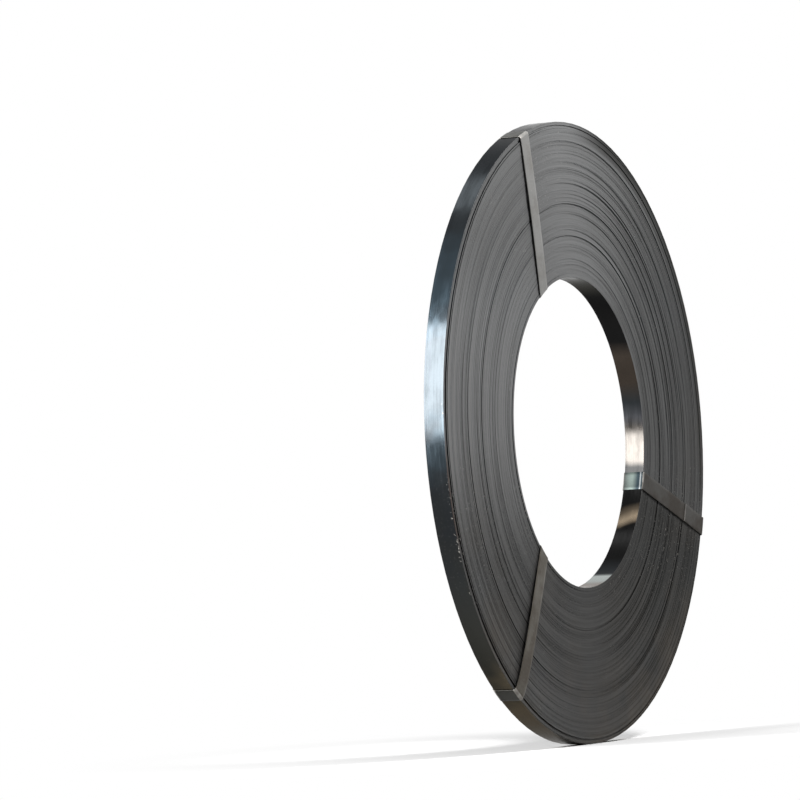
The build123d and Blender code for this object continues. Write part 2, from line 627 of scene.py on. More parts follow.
@dataclass(frozen=True)
class BluedFlatFinish:
    """Glossy blue-black of the rolled flats of the strip, seen on the rim and in the bore.

    Fades named for a height run over metres.
    """

    coil: CoilSizes
    navy: Colour = (0.023, 0.026, 0.029)
    teal: Colour = (0.027, 0.031, 0.034)
    # Painted reflection of blue sky, in two bands at two heights of the rim
    sky_reflection_blue: Colour = (0.044, 0.062, 0.076)
    # Greenish brown low on the rim: grimy patches, plus a painted reflection of brown ground that fades
    # out upwards
    olive_grime_and_reflection: Colour = (0.027, 0.026, 0.021)
    # Painted reflection of sunlit ground along the foot of the rim
    sunlit_ground_reflection: Colour = (0.084, 0.068, 0.045)
    pale: Colour = (0.039, 0.036, 0.033)
    # Colours of the painted reflections and shade on the wall of the bore
    tan_reflection: Colour = (0.046, 0.037, 0.030)
    haze_reflection: Colour = (0.058, 0.060, 0.066)
    copper_reflection: Colour = (0.280, 0.222, 0.158)
    bronze_reflection: Colour = (0.095, 0.076, 0.055)
    silver_reflection: Colour = (0.520, 0.560, 0.545)
    warm_reflection: Colour = (0.330, 0.270, 0.230)
    shade_black: Colour = (0.009, 0.009, 0.009)
    bare: Colour = (0.420, 0.400, 0.370)
    edge_reflection: float = 0.55
    scuff_dulling: float = 0.3
    wave_depth: float = 0.35 * MM
    tints: Fade = Fade(0.38, 0.62)
    polish: Fade = Fade(0.36, 0.64, 0.13, 0.27)
    lining_turns: Fade = Fade(1.0, 2.0, 1.0, 0.0)
    sky_reflection_height: tuple[Fade, Fade] = (Fade(0.38, 0.42), Fade(0.43, 0.50, 1.0, 0.0))
    sky_fringe_height: tuple[Fade, Fade] = (Fade(0.24, 0.27), Fade(0.28, 0.32, 0.6, 0.0))
    grime_and_reflection_height: float = 0.34
    brown_ground_reflection_height: Fade = Fade(0.06, 0.24, 0.9, 0.0)
    sunlit_ground_height: Fade = Fade(0.045, 0.085, 1.0, 0.0)
    speck_height: tuple[Fade, Fade] = (Fade(0.10, 0.19), Fade(0.22, 0.30, 0.85, 0.0))
    # Over half widths of the strip from its middle towards the front end
    speck_edge: Fade = Fade(0.70, 0.96, 0.04, 1.0)
    # Over the upward part of the direction from the axis
    even_foot: Fade = Fade(-0.95, -0.80, 0.15, 1.0)
    slant_up: tuple[Fade, Fade] = (Fade(-0.80, -0.65), Fade(-0.45, -0.35, 1.0, 0.0))
    slant: float = -0.016

    def material(self, effects: SharedEffects) -> bpy.types.Material:
        """Make the material.

        Args:
            effects: the shared node groups.

        Returns:
            The material.
        """
        material, sheet, shader, point = steel_material("blued_flats")
        at = effects.locate(sheet, point, self.coil)
        in_bore = at.within(turn=self.lining_turns)
        outside = sheet.math("SUBTRACT", 1.0, in_bore)
        forward = sheet.math("SUBTRACT", self.coil.axis_depth, at.y)
        forward = sheet.math("DIVIDE", forward, self.coil.strip_width / 2)
        mottle = sheet.wander(point, scale=16.0, reach=0.10, roughness=0.6)
        height = sheet.math("ADD", at.z, mottle)
        # Painted sky reflection on the rim
        sky_bands = (self.sky_reflection_height, self.sky_fringe_height)
        grime_and_reflection_mask = sheet.place(
            effects.grime_and_reflection, vector=point, clean_height=self.grime_and_reflection_height, patch_scale=14.0
        )
        # Grimy patches, and the painted reflection of brown ground low on the rim
        olive_share = sheet.most(grime_and_reflection_mask[0], at.within(z=self.brown_ground_reflection_height))
        knocked = sheet.fade(at.z, *self.speck_height)
        specks = sheet.place(
            effects.scuffs, vector=point, speck_scale=420.0, patch_scale=13.0, amount=knocked
        )
        scuffed = sheet.times(specks[0], sheet.fade(forward, self.speck_edge), outside)
        clouds = sheet.noise(point, scale=7.0, detail=3.0, roughness=0.55)
        colour = sheet.coats(
            self.navy,
            (sheet.fade(clouds, self.tints), self.teal),
            (sheet.most(*(sheet.fade(height, *fades) for fades in sky_bands)), self.sky_reflection_blue),
            # Painted reflections and shade in the bore
            (in_bore, self._bore_reflections(at, forward)),
            (sheet.times(olive_share, outside), self.olive_grime_and_reflection),
            (sheet.times(sheet.fade(height, self.sunlit_ground_height), outside), self.sunlit_ground_reflection),
            (scuffed, self.bare),
        )
        rolled = sheet.noise(sheet.stretch(point, (4.0, 900.0, 4.0)), detail=2.0, roughness=0.6)
        smear = sheet.noise(sheet.stretch(point, (30.0, 90.0, 30.0)), detail=3.0, roughness=0.6)
        polish = sheet.fade(sheet.total((rolled, 0.4), (smear, 0.6)), self.polish)
        waves = sheet.noise(sheet.stretch(point, (11.0, 25.0, 11.0)), detail=1.0)
        looks = {
            "Base Color": colour,
            "Roughness": sheet.math("MULTIPLY_ADD", scuffed, self.scuff_dulling, polish),
            "Metallic": 1.0,
            "Specular Tint": (*[self.edge_reflection] * 3, 1.0),
            "Normal": sheet.bump(waves, self.wave_depth, 1.0),
        }
        sheet.fill(shader, looks)
        return material

    def _bore_reflections(self, at: CoilPlace, forward: Socket) -> Socket:
        """Paint reflections and shade on the wall of the bore, from its foot up, in bands with
        wandering borders.

        The coppery reflection runs aslant: it rises towards the front end.

        Args:
            at: place on the coil.
            forward: half widths of the strip from its middle towards the front end.

        Returns:
            The socket of the colour.
        """
        sheet = at.sheet
        blot = sheet.wander(at.point, scale=14.0, reach=0.16)
        blot = sheet.times(blot, at.within(up=self.even_foot))
        aslant = sheet.times(forward, self.slant, sheet.fade(at.up, *self.slant_up))
        stops = (
            (-0.985, self.warm_reflection),
            (-0.960, self.silver_reflection),
            (-0.930, self.silver_reflection),
            (-0.918, self.teal),
            (-0.80, self.shade_black),
            (-0.626, self.shade_black),
            (-0.590, self.copper_reflection),
            (-0.578, self.copper_reflection),
            (-0.540, self.bronze_reflection),
            (-0.495, self.shade_black),
            (-0.23, self.shade_black),
            (-0.19, self.pale),
            (0.03, self.pale),
            (0.09, self.haze_reflection),
            (0.20, self.teal),
            (0.32, self.tan_reflection),
            (0.50, self.tan_reflection),
            (0.60, self.shade_black),
            (0.88, self.shade_black),
            (0.96, self.olive_grime_and_reflection),
        )
        return sheet.bands(sheet.math("ADD", sheet.math("ADD", at.up, blot), aslant), stops)


@dataclass(frozen=True)
class TieFinish:
    """Dull oily steel of a tie, lighter at its bends and along its edges, partly from wear and partly
    as a painted highlight.
    """

    name: str
    grey: Colour
    brown: Colour
    brown_share: float
    wear: float
    specular: float
    # Lighter steel: drawn wear, and at bends, edges and the lapped end partly a painted highlight
    worn_and_highlit: Colour = (0.340, 0.325, 0.305)
    # Painted shade on the part of a tie that runs over the rim
    rim_shade: Colour = (0.012, 0.012, 0.009)
    # Painted reflections, shade and highlight across the part of a tie in the bore; dim is its painted
    # shade
    cool_reflection: Colour = (0.086, 0.108, 0.100)
    dim: Colour = (0.016, 0.017, 0.017)
    shine: Colour = (0.170, 0.182, 0.186)
    sea_reflection: Colour = (0.008, 0.018, 0.024)
    metallic: float = 0.35
    line_depth: float = 0.08 * MM
    line_bend: float = 0.4
    rim_shade_share: float = 0.92
    bore_share: float = 0.9
    speck_share: float = 0.2
    edge_share: float = 0.14
    rub_dulling: float = -0.16
    glints: Fade = Fade(0.35, 0.65, 0.25, 0.75)
    dulling: Fade = Fade(0.35, 0.65, 0.34, 0.52)

    def material(self, effects: SharedEffects) -> bpy.types.Material:
        """Make the material.

        Args:
            effects: the shared node groups.

        Returns:
            The material.
        """
        material, sheet, shader, place = steel_material(self.name)
        marks = {
            mark: sheet.add("ShaderNodeAttribute", attribute_name=mark.value).outputs["Fac"]
            for mark in TieMark
        }
        laid = sheet.add("ShaderNodeUVMap", uv_map=BAKE_UV).outputs[0]
        stain = sheet.noise(place, scale=26.0, detail=4.0, roughness=0.62)
        # The more brown a tie has, the lower the value of the noise at which the brown sets in
        level = 0.68 - 0.36 * self.brown_share
        drawn = sheet.noise(sheet.stretch(laid, (9.0, 260.0, 1.0)), detail=3.0, roughness=0.6)
        specks = sheet.place(effects.scuffs, vector=place, speck_scale=380.0, patch_scale=22.0)
        # Bends, edges and the lapped end are lighter, partly from wear and partly as a painted
        # highlight
        rubbed_and_highlit = sheet.total((specks[0], self.speck_share), (marks[TieMark.EDGE], self.edge_share))
        glint = sheet.fade(sheet.noise(place, scale=90.0), self.glints)
        rubbed_and_highlit = sheet.most(rubbed_and_highlit, sheet.times(marks[TieMark.BEND], glint))
        sheen = self._bore_sheen(sheet, marks[TieMark.BORE_WAY])
        colour = sheet.coats(
            self.grey,
            (sheet.fade(stain, Fade(level - 0.12, level + 0.12)), self.brown),
            (sheet.fade(drawn, Fade(0.40, 0.75, 0.0, self.wear)), self.worn_and_highlit),
            # Painted shade over the rim
            (sheet.times(marks[TieMark.RIM], self.rim_shade_share), self.rim_shade),
            # Painted reflections, shade and highlight in the bore
            (sheet.times(marks[TieMark.BORE], self.bore_share), sheen),
            (rubbed_and_highlit, self.worn_and_highlit),
        )
        dull = sheet.fade(stain, self.dulling)
        looks = {
            "Base Color": colour,
            "Roughness": sheet.math("MULTIPLY_ADD", rubbed_and_highlit, self.rub_dulling, dull),
            "Metallic": self.metallic,
            "Specular IOR Level": self.specular,
            "Normal": sheet.bump(drawn, self.line_depth, self.line_bend),
        }
        sheet.fill(shader, looks)
        return material

    def _bore_sheen(self, sheet: NodeSheet, along: Socket) -> Socket:
        """Paint reflections, shade and a bright highlight on the part of the band in the bore, from its
        back bend to its front bend.

        Args:
            sheet: sheet of the material.
            along: place along that part, -1 at the back bend and 1 at the front one.

        Returns:
            The socket of the colour.
        """
        stops = (
            (-0.98, self.dim),
            (-0.25, self.cool_reflection),
            (0.02, self.cool_reflection),
            (0.55, self.sea_reflection),
            (0.75, self.sea_reflection),
            (0.82, self.shine),
            (0.89, self.shine),
            (0.95, self.sea_reflection),
        )
        return sheet.bands(along, stops)


@dataclass
class SurfaceGrid:
    """A surface worked out on a grid whose rows are closed rings, ready to become a mesh.

    The rows themselves close up as well where close_rows is true.
    """

    points: np.ndarray
    row_marks: np.ndarray
    column_marks: np.ndarray
    close_rows: bool

    def corners(self) -> tuple[np.ndarray, np.ndarray]:
        """Find the corners of the grid's four-sided faces.

        Returns:
            The number of the vertex at each corner, and the place of each corner in the UV map.
        """
        rows, columns, _ = self.points.shape
        row_count = rows if self.close_rows else rows - 1
        row, column = np.meshgrid(np.arange(row_count), np.arange(columns), indexing="ij")
        corner_rows = np.stack([row, row + 1, row + 1, row], axis=-1).reshape(-1, 4)
        corner_columns = np.stack([column, column, column + 1, column + 1], axis=-1).reshape(-1, 4)
        vertex = (corner_rows % rows) * columns + corner_columns % columns
        laid = np.stack([self.column_marks[corner_columns], self.row_marks[corner_rows]], axis=-1)
        return vertex, laid

    def mesh(self, name: str) -> bpy.types.Mesh:
        """Make the mesh, with its faces turned outwards and its UV map.

        The sum over the faces of each face's middle point times its area vector is three times the
        volume, and where it comes out negative every face is turned over.

        Args:
            name: name of the mesh.

        Returns:
            The mesh.
        """
        vertex, laid = self.corners()
        flat = self.points.reshape(-1, 3)
        a, b, c, d = (flat[vertex[:, i]] for i in range(4))
        volume = np.sum((a + b + c + d) * np.cross(c - a, d - b))
        if volume < 0:
            vertex = vertex[:, ::-1]
            laid = laid[:, ::-1]
        mesh = bpy.data.meshes.new(name)
        mesh.vertices.add(len(flat))
        mesh.vertices.foreach_set("co", flat.astype(np.float32).ravel())
        mesh.loops.add(vertex.size)
        mesh.loops.foreach_set("vertex_index", np.ascontiguousarray(vertex, dtype=np.int32).ravel())
        mesh.polygons.add(len(vertex))
        mesh.polygons.foreach_set("loop_start", np.arange(0, vertex.size, 4, dtype=np.int32))
        mesh.polygons.foreach_set("use_smooth", np.ones(len(vertex), dtype=bool))
        mesh.update(calc_edges=True)
        uv_map = mesh.uv_layers.new(name=BAKE_UV)
        uv_map.uv.foreach_set("vector", np.ascontiguousarray(laid, dtype=np.float32).ravel())
        return mesh


def length_marks(steps: np.ndarray) -> np.ndarray:
    """Add up the steps from point to point of a closed line to marks from 0 to 1."""
    marks = np.concatenate([[0.0], np.cumsum(steps)])
    return marks / marks[-1]


def closed_steps(line: np.ndarray) -> np.ndarray:
    """Measure the steps from point to point of a closed line, in the plane of its first two columns."""
    return np.hypot(*(np.diff(line[:, i], append=line[0, i]) for i in range(2)))


def show_piece(mesh: bpy.types.Mesh, node: str) -> bpy.types.Object:
    """Put a mesh into the scene in place of a CAD node.

    Args:
        mesh: the finished mesh, in its place.
        node: name of the CAD node that it stands for.

    Returns:
        The object.
    """
    piece = bpy.data.objects.new(mesh.name, mesh)
    bpy.context.scene.collection.objects.link(piece)
    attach(piece, "root")
    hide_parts(node)
    return piece


@dataclass(frozen=True)
class SlippedTurns:
    """A few turns that have slipped back from the front end over part of the circle.

    The middle of the slip is given on a clock face of 360 degrees, seen from the front.
    """

    winding_share: float
    turns: float
    depth: float
    clock_deg: float
    reach_deg: float

    def push(self, turn_share: np.ndarray, turn_count: int, angle: np.ndarray) -> np.ndarray:
        """Work out how far the slip moves each turn at each angle.

        The slip is its depth times a bell over the turns and a bell round the circle. A bell is e to
        the power of minus the fourth power of the distance from its middle, measured in its reach.

        Args:
            turn_share: share of the winding at which each turn lies, as a column.
            turn_count: number of turns in the winding.
            angle: angles round the axis from +X towards +Z, as a row.

        Returns:
            The push in metres, negative away from the front end.
        """
        off_turns = (turn_share - self.winding_share) * turn_count / (self.turns / 2)
        across = np.exp(-(off_turns**4))
        turned = angle - math.radians(90.0 - self.clock_deg)
        off_angle = np.arctan2(np.sin(turned), np.cos(turned)) / math.radians(self.reach_deg)
        return -self.depth * across * np.exp(-(off_angle**4))


@dataclass
class WoundStrip:
    """The winding: about 240 turns of strip whose edges stand a little unevenly on both ends.

    Groups of turns end at shares of the winding and are pushed by shares of the weave.
    """

    coil: CoilSizes
    columns: int = 100
    corner: float = 0.15 * MM
    seed: int = 11
    sway: float = 0.10 * MM
    sway_turns: int = 9
    sway_start: float = 2.5
    scatter: float = 0.055 * MM
    scatter_swing: float = 0.6
    least_mark: float = 0.05 * MM
    crease_deg: float = 35.0
    group_ends: tuple[float, ...] = (0.020, 0.262, 0.270, 0.463, 0.475, 0.700, 0.850, 0.968, 0.978, 1.0)
    group_pushes: tuple[float, ...] = (1.00, 0.25, -0.85, 0.45, -1.00, 0.40, 0.65, 1.00, -0.70, 0.40)
    # Share of the winding, number of turns, depth, middle on the clock face, reach to either side
    slips: tuple[SlippedTurns, ...] = (
        SlippedTurns(0.190, 2.0, 0.5 * MM, 36.0, 52.0),
        SlippedTurns(0.300, 3.0, 0.9 * MM, 38.0, 48.0),
        SlippedTurns(0.375, 2.0, 0.8 * MM, 146.0, 40.0),
        SlippedTurns(0.405, 2.0, 1.2 * MM, 46.0, 42.0),
        SlippedTurns(0.524, 1.5, 0.8 * MM, 243.0, 42.0),
        SlippedTurns(0.535, 2.0, 0.8 * MM, 42.0, 44.0),
        SlippedTurns(0.600, 3.0, 1.2 * MM, 40.0, 43.0),
        SlippedTurns(0.625, 2.0, 1.0 * MM, 44.0, 40.0),
        SlippedTurns(0.660, 1.5, 0.8 * MM, 242.0, 42.0),
        SlippedTurns(0.680, 3.0, 1.0 * MM, 146.0, 38.0),
        SlippedTurns(0.730, 5.0, 1.1 * MM, 40.0, 43.0),
        SlippedTurns(0.742, 1.5, 0.8 * MM, 244.0, 42.0),
        SlippedTurns(0.820, 1.5, 0.8 * MM, 240.0, 42.0),
        SlippedTurns(0.870, 3.0, 1.3 * MM, 38.0, 46.0),
        SlippedTurns(0.935, 2.0, 1.4 * MM, 52.0, 42.0),
        SlippedTurns(0.955, 1.5, 1.5 * MM, 280.0, 70.0),
        SlippedTurns(0.985, 8.0, 0.8 * MM, 60.0, 45.0),
        # Turns of the two grooves that stand forward again, away from the upper right
        SlippedTurns(0.266, 3.0, -0.9 * MM, 212.0, 158.0),
        SlippedTurns(0.469, 4.0, -1.15 * MM, 210.0, 158.0),
    )

    def angles(self) -> np.ndarray:
        """Angles of the columns round the axis, from +X towards +Z."""
        return np.linspace(0.0, 2 * math.pi, self.columns, endpoint=False)

    def pushes(self) -> np.ndarray:
        """Work out how far each turn is pushed towards the front end at each angle.

        A turn's push is that of its group, plus a slow sway round the circle that neighbouring turns
        share, plus a small scatter of its own, plus the slips, kept within the weave.

        Returns:
            Pushes in metres, a row for each turn and a column for each angle.
        """
        turns, weave = self.coil.turns, self.coil.weave
        random = np.random.default_rng(self.seed)
        angle = self.angles()[None, :]
        share = ((np.arange(turns) + 0.5) / turns)[:, None]
        group = np.searchsorted(np.array(self.group_ends), share[:, 0])
        push = np.array(self.group_pushes)[group][:, None] * weave
        push = np.repeat(push, self.columns, axis=1)
        for waves in (1, 2, 3):
            strength, start = (self._smooth(random.normal(size=turns)) for _ in range(2))
            starts = self.sway_start * start
            push += self.sway * strength[:, None] * np.cos(waves * angle + starts[:, None])
        scatter = random.normal(size=(turns, 1))
        start = random.uniform(0.0, 2 * math.pi, size=(turns, 1))
        push += self.scatter * scatter * (1.0 + self.scatter_swing * np.cos(angle + start))
        for slip in self.slips:
            push += slip.push(share, turns, angle)
        return np.clip(push, -weave, weave)

    def _smooth(self, values: np.ndarray) -> np.ndarray:
        """Average values over neighbouring turns and bring them back to unit spread.

        Args:
            values: a value for each turn.

        Returns:
            The averages.
        """
        span = self.sway_turns
        window = np.hanning(span + 2)[1:-1]
        mean = np.convolve(np.pad(values, span, mode="wrap"), window, mode="same")[span:-span]
        return mean / mean.std()

    def surface(self) -> tuple[SurfaceGrid, np.ndarray]:
        """Work out the surface of the winding.

        Each ring of the grid is a circle with its own radius whose depth follows the push of its turn.
        From the bore out, two rings bound the edge of each turn on the front end; then come the rim,
        the back end from the rim in, and the wall of the bore, which closes the section.

        Returns:
            The grid, and the material slot of the faces that follow each ring.
        """
        coil, corner = self.coil, self.corner
        push = np.repeat(self.pushes(), 2, axis=0)
        front = push + coil.strip_width / 2
        back = push - coil.strip_width / 2
        borders = np.linspace(coil.bore_radius, coil.outer_radius, coil.turns + 1)
        end_radius = np.repeat(borders, 2)[1:-1]
        end_radius[0] += corner
        end_radius[-1] -= corner
        rim = [front[-1] - corner, (front[-1] + back[-1]) / 2, back[-1] + corner]
        lining = [back[0] + corner, (front[0] + back[0]) / 2, front[0] - corner]
        radius = np.concatenate(
            [end_radius, [coil.outer_radius] * 3, end_radius[::-1], [coil.bore_radius] * 3]
        )
        depth = np.concatenate([front, rim, back[::-1], lining])
        angle = self.angles()[None, :]
        points = np.stack(
            [
                radius[:, None] * np.cos(angle),
                coil.axis_depth - depth,
                coil.axis_height + radius[:, None] * np.sin(angle),
            ],
            axis=-1,
        )
        edge, flat = StripFace.SLIT_EDGE.value, StripFace.BLUED_FLAT.value
        end_slots = np.where(np.arange(len(end_radius)) % 2 == 0, edge, flat)
        end_slots[-1] = edge
        wall_slots = np.array([flat, flat, edge])
        slots = np.concatenate([end_slots, wall_slots, end_slots, wall_slots])
        inwards = np.abs(np.diff(depth, axis=0, append=depth[:1])).mean(1)
        steps = np.hypot(np.diff(radius, append=radius[0]), inwards)
        grid = SurfaceGrid(
            points=points,
            row_marks=length_marks(steps + self.least_mark),
            column_marks=np.linspace(0.0, 1.0, self.columns + 1),
            close_rows=True,
        )
        return grid, slots

    def build(self, effects: SharedEffects) -> bpy.types.Object:
        """Build and dress the winding.

        Args:
            effects: the shared node groups.

        Returns:
            The object.
        """
        grid, slots = self.surface()
        mesh = grid.mesh("wound_strip")
        mesh.polygons.foreach_set("material_index", np.repeat(slots, self.columns).astype(np.int32))
        mesh.set_sharp_from_angle(angle=math.radians(self.crease_deg))
        for finish in (SlitEdgeFinish(self.coil), BluedFlatFinish(self.coil)):
            mesh.materials.append(finish.material(effects))
        return show_piece(mesh, "strip_coil")


@dataclass(frozen=True)
class TieSizes:
    """Sizes in metres that the three ties share."""

    width: float = 18.0 * MM
    thickness: float = 0.6 * MM
    rim_bend: float = 2.2 * MM
    bore_bend: float = 0.7 * MM
    bore_front_play: float = 0.45 * MM
    bore_back_play: float = 0.35 * MM
    back_knee: float = 36.0 * MM
    rim_play: float = 0.05 * MM
    bore_play: float = 0.05 * MM
    edge_round: float = 0.14 * MM
    lap_gap: float = 0.03 * MM
    worn_and_highlit_end: float = 1.5 * MM


class TiePath:
    """A line along a tie's inner face, made of legs.

    Each point of a leg has its distance from the axis, its depth, the two parts of its outward way,
    and 1 in a bend or 0 elsewhere.
    """

    def __init__(self) -> None:
        """Start with no leg."""
        self.legs: list[np.ndarray] = []

    def run(
        self, start: tuple, end: tuple, way: tuple, count: int, bow: float = 0.0, peak: float = 0.5
    ) -> None:
        """Add a straight leg, bowed outwards where asked.

        The points crowd towards both ends. The bow is a sine over the leg, with its crest at the
        peak share.

        Args:
            start: distance from the axis and depth at the start.
            end: distance and depth at the end.
            way: outward way of the leg.
            count: number of points.
            bow: height of the bow.
            peak: share of the leg at which the bow is highest.
        """
        share = 0.5 - 0.5 * np.cos(np.linspace(0.0, math.pi, count))
        lift = bow * np.sin(math.pi * share ** (math.log(0.5) / math.log(peak)))
        points = np.outer(1 - share, start) + np.outer(share, end) + np.outer(lift, way)
        ways = np.repeat(np.array([way], dtype=float), count, axis=0)
        self.legs.append(np.column_stack([points, ways, np.zeros(count)]))

    def turn(self, centre: tuple, from_deg: float, radius: float, count: int = 9) -> None:
        """Add a bend of a quarter circle.

        Args:
            centre: distance from the axis and depth of the bend's centre.
            from_deg: angle at which it starts; it ends 90 degrees on.
            radius: radius of the bend.
            count: number of points, which leave the bend's two ends to the legs.
        """
        angle = np.radians(from_deg + np.linspace(0.0, 90.0, count + 2)[1:-1])
        ways = np.column_stack([np.cos(angle), np.sin(angle)])
        points = np.array(centre) + radius * ways
        self.legs.append(np.column_stack([points, ways, np.ones(count)]))


@dataclass
class TieBand:
    """One tie: a flat steel band bent round the winding."""

    node: str
    coil: CoilSizes
    sizes: TieSizes
    finish: TieFinish
    heading_deg: float
    offset: float
    front_play: float
    bow: float
    bow_peak: float = 0.5
    lap: float = 0.0
    front_points: int = 40
    back_points: int = 30
    lap_points: int = 20
    short_points: int = 12
    flat_points: int = 7
    end_wear_and_highlight: float = 0.6
    crease_deg: float = 50.0
    least_mark: float = 0.1 * MM

    def path(self) -> np.ndarray:
        """Lay the band's inner face round the winding.

        The band lies close to the edges of the strip at the bore, stands off the front end from there
        out with its bow, and lies on the proudest turns of the back end. A lapped band starts on the
        front end next to the rim, and ends there over its own start.

        Returns:
            The table of the path's points, with the lift of a lapped end as the last column.
        """
        coil, sizes = self.coil, self.sizes
        inner = coil.bore_radius - sizes.bore_play
        outer = coil.outer_radius + sizes.rim_play
        back = -coil.strip_width / 2 - coil.weave
        front = -back + self.front_play
        bore_front = -back + sizes.bore_front_play
        bore_back = back + 2 * coil.weave - sizes.bore_back_play
        near, far = inner + sizes.bore_bend, outer - sizes.rim_bend
        bore_low, bore_high = bore_back + sizes.bore_bend, bore_front - sizes.bore_bend
        rim_low, rim_high = back + sizes.rim_bend, front - sizes.rim_bend
        knee = near + sizes.back_knee
        bow = front + self.bow - (bore_front + self.bow_peak * (front - bore_front))
        begin = far - sizes.rim_bend if self.lap > 0 else far
        inwards = TiePath()
        inwards.run(
            (begin, front), (near, bore_front), (0, 1), self.front_points, bow, 1 - self.bow_peak
        )
        inwards.turn((near, bore_high), 90.0, sizes.bore_bend)
        inwards.run((inner, bore_high), (inner, bore_low), (-1, 0), self.short_points)
        inwards.turn((near, bore_low), 180.0, sizes.bore_bend)
        outwards = TiePath()
        outwards.run((near, bore_back), (knee, back), (0, -1), self.short_points)
        outwards.run((knee + MM, back), (far, back), (0, -1), self.back_points)
        outwards.turn((far, rim_low), 270.0, sizes.rim_bend)
        outwards.run((outer, rim_low), (outer, rim_high), (1, 0), self.short_points)
        outwards.turn((far, rim_high), 0.0, sizes.rim_bend)
        if self.lap > 0:
            outwards.run((far, front), (outer - self.lap, front), (0, 1), self.lap_points)
            table = np.concatenate(inwards.legs + outwards.legs)
        else:
            table = np.concatenate(outwards.legs + inwards.legs)
        return np.column_stack([table, self._lift(table)])

    def _lift(self, table: np.ndarray) -> np.ndarray:
        """Work out how far the over-lying end stands off the end below it.

        The lift grows smoothly round the front bend of the rim from nothing to a thickness, and on the
        front end it follows the bow of the band below.

        Args:
            table: the path's points.

        Returns:
            The lift at each point.
        """
        if self.lap == 0:
            return np.zeros(len(table))
        rim_end = np.flatnonzero(table[:, 2] == 1)[-1]
        bend_end = np.flatnonzero(table[:, 4] == 1)[-1] + 1
        share = np.interp(np.arange(len(table)), [rim_end, bend_end], [0.0, 1.0])
        rise = share * share * (3 - 2 * share) * (self.sizes.thickness + self.sizes.lap_gap)
        lapped = np.arange(len(table)) > rim_end
        below_distance = table[: self.front_points, 0][None, :]
        below = np.argmin(np.abs(below_distance - table[lapped, 0][:, None]), axis=1)
        rise[lapped] += np.maximum(table[below, 1] - table[lapped, 1], 0.0) * table[lapped, 3]
        return rise

    def _end_wear_and_highlight(self, path: np.ndarray) -> np.ndarray:
        """Mark the last stretch of the over-lying end, which is lighter: partly from rubbing and partly
        a painted highlight.

        Args:
            path: the table of the path's points.

        Returns:
            The mark at each point.
        """
        if self.lap == 0:
            return np.zeros(len(path))
        from_end = np.abs(path[:, 0] - path[-1, 0])
        over = np.arange(len(path)) > len(path) / 2
        worn_and_highlit = over & (from_end < self.sizes.worn_and_highlit_end) & (path[:, 3] == 1.0)
        return np.where(worn_and_highlit, self.end_wear_and_highlight, 0.0)

    def section(self) -> np.ndarray:
        """Make the band's own section, a flat bar with rounded edges.

        Returns:
            Points in order round the section: place sideways, height above the inner face, edge mark.
        """
        half = self.sizes.width / 2
        ease = self.sizes.edge_round
        deep = self.sizes.thickness
        cut = 0.3 * ease
        count = self.flat_points
        flat = np.linspace(-(half - ease), half - ease, count)
        lower = np.column_stack([flat, np.zeros(count), np.zeros(count)])
        edge = np.array(
            [
                [half - cut, cut, 1.0],
                [half, ease, 1.0],
                [half, deep - ease, 1.0],
                [half - cut, deep - cut, 1.0],
            ]
        )
        upper = np.column_stack([flat[::-1], np.full(count, deep), np.zeros(count)])
        other = edge[::-1] * np.array([-1.0, 1.0, 1.0])
        return np.concatenate([lower, edge, upper, other])

    def surface(self) -> tuple[SurfaceGrid, dict[TieMark, np.ndarray]]:
        """Carry the section along the path.

        A point of the section lies sideways from the band's middle line by its own place plus the
        band's offset from the axis. Its distance along the band's heading is the root of the squared
        distance from the axis less the squared sideways place, so the bends follow the round of the
        rim and the bore. Where the band has open ends, one more section at each end, pressed flat to
        its middle, closes it.

        Returns:
            The grid, and the marks of its points. The way through the bore is in half strip widths.
        """
        path = self.path()
        section = self.section()
        closed = self.lap == 0
        open_share = np.ones(len(path))
        if not closed:
            path = np.concatenate([path[:1], path, path[-1:]])
            open_share = np.concatenate([[0.0], open_share, [0.0]])
        middle = self.sizes.thickness / 2
        height = middle + (section[None, :, 1] - middle) * open_share[:, None] + path[:, 5, None]
        distance = path[:, 0, None] + height * path[:, 2, None]
        depth = path[:, 1, None] + height * path[:, 3, None]
        sideways = np.broadcast_to(self.offset + section[None, :, 0], distance.shape)
        along = np.sqrt(distance**2 - sideways**2)
        heading = math.radians(self.heading_deg)
        points = np.stack(
            [
                along * math.cos(heading) - sideways * math.sin(heading),
                self.coil.axis_depth - depth,
                self.coil.axis_height + along * math.sin(heading) + sideways * math.cos(heading),
            ],
            axis=-1,
        )
        grid = SurfaceGrid(
            points=points,
            row_marks=length_marks(closed_steps(path) + self.least_mark),
            column_marks=length_marks(closed_steps(section)),
            close_rows=closed,
        )
        marks = {
            TieMark.BEND: path[:, 4, None] + self._end_wear_and_highlight(path)[:, None],
            TieMark.EDGE: section[None, :, 2],
            TieMark.RIM: path[:, 2, None] == 1.0,
            TieMark.BORE: path[:, 2, None] == -1.0,
            TieMark.BORE_WAY: path[:, 1, None] / (self.coil.strip_width / 2),
        }
        return grid, {mark: np.broadcast_to(values, distance.shape) for mark, values in marks.items()}

    def build(self, effects: SharedEffects) -> bpy.types.Object:
        """Build and dress the tie.

        Args:
            effects: the shared node groups.

        Returns:
            The object.
        """
        grid, marks = self.surface()
        mesh = grid.mesh(self.node.replace("tie_", "steel_tie_"))
        for mark, values in marks.items():
            attribute = mesh.attributes.new(mark.value, "FLOAT", "POINT")
            attribute.data.foreach_set("value", values.astype(np.float32).ravel())
        mesh.set_sharp_from_angle(angle=math.radians(self.crease_deg))
        mesh.materials.append(self.finish.material(effects))
        return show_piece(mesh, self.node)


